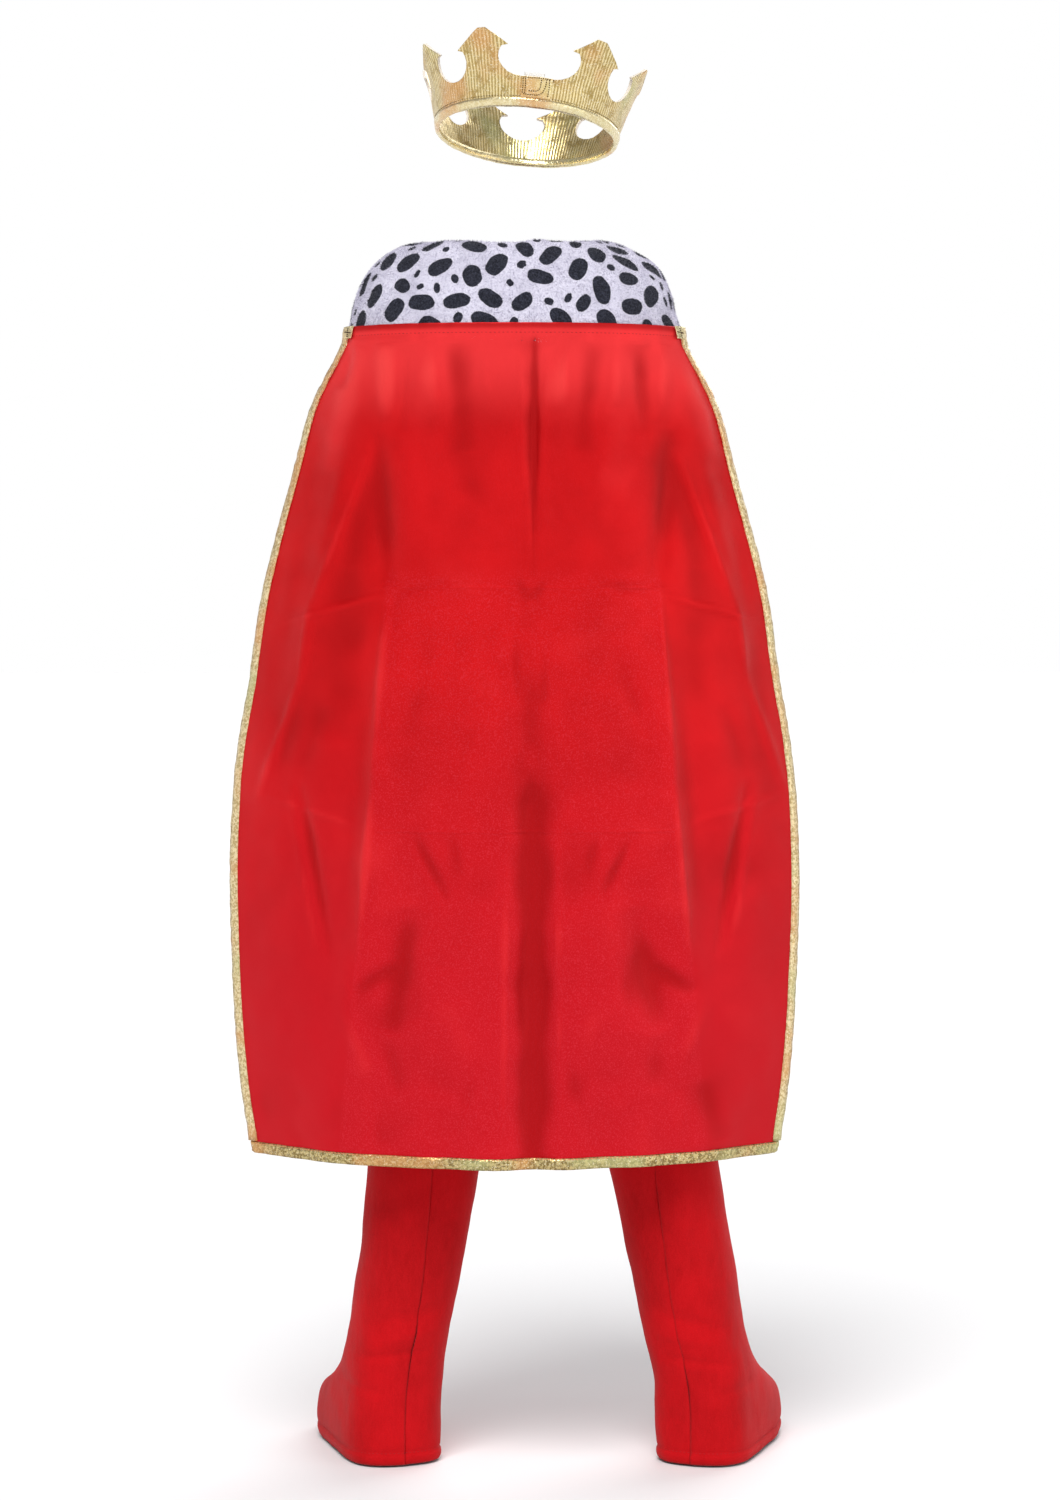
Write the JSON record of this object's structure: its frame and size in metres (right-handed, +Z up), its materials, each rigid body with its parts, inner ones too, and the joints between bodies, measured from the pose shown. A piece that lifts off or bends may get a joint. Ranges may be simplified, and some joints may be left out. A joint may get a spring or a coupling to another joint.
{
  "type": "king costume",
  "caption": "Child's king costume in its worn, hollow form: soft crown, spotted plush collar, satin cape with gold trim, and a suit with boot covers.",
  "frame": {"origin": "midway between the shoulders, 960 mm above the floor that the wearer stands on, on the neck's centre line", "axes": "+Z up, +X towards the wearer's left, +Y towards the wearer's back, which is the side the picture shows"},
  "size_m": [0.4806, 0.2757, 1.192],
  "materials": {
    "suit_velour": "matt red velour",
    "cape_satin": "red satin with a soft sheen",
    "spotted_plush": "white short-pile plush with printed dark oval spots",
    "gold_trim": "folded gold lame trim",
    "gold_lame": "crinkled gold lame on thin foam",
    "hook_tape": "white hook tape"
  },
  "bodies": {
    "root": {"suit_front": "suit_velour", "suit_back_left": "suit_velour", "suit_back_right": "suit_velour", "sleeve_left_top": "suit_velour", "sleeve_left_under": "suit_velour", "sleeve_right_top": "suit_velour", "sleeve_right_under": "suit_velour", "leg_left_outer": "suit_velour", "leg_left_inner": "suit_velour", "leg_right_outer": "suit_velour", "leg_right_inner": "suit_velour", "collar": "spotted_plush", "cape": "cape_satin", "trim_left": "gold_trim", "trim_right": "gold_trim", "trim_hem": "gold_trim", "corner_patch_left": "gold_trim", "corner_patch_right": "gold_trim", "crown_binding": "gold_trim", "crown_band": "gold_lame", "crown_tab": "gold_lame", "crown_hook_tape": "hook_tape"}
  },
  "joints": []
}
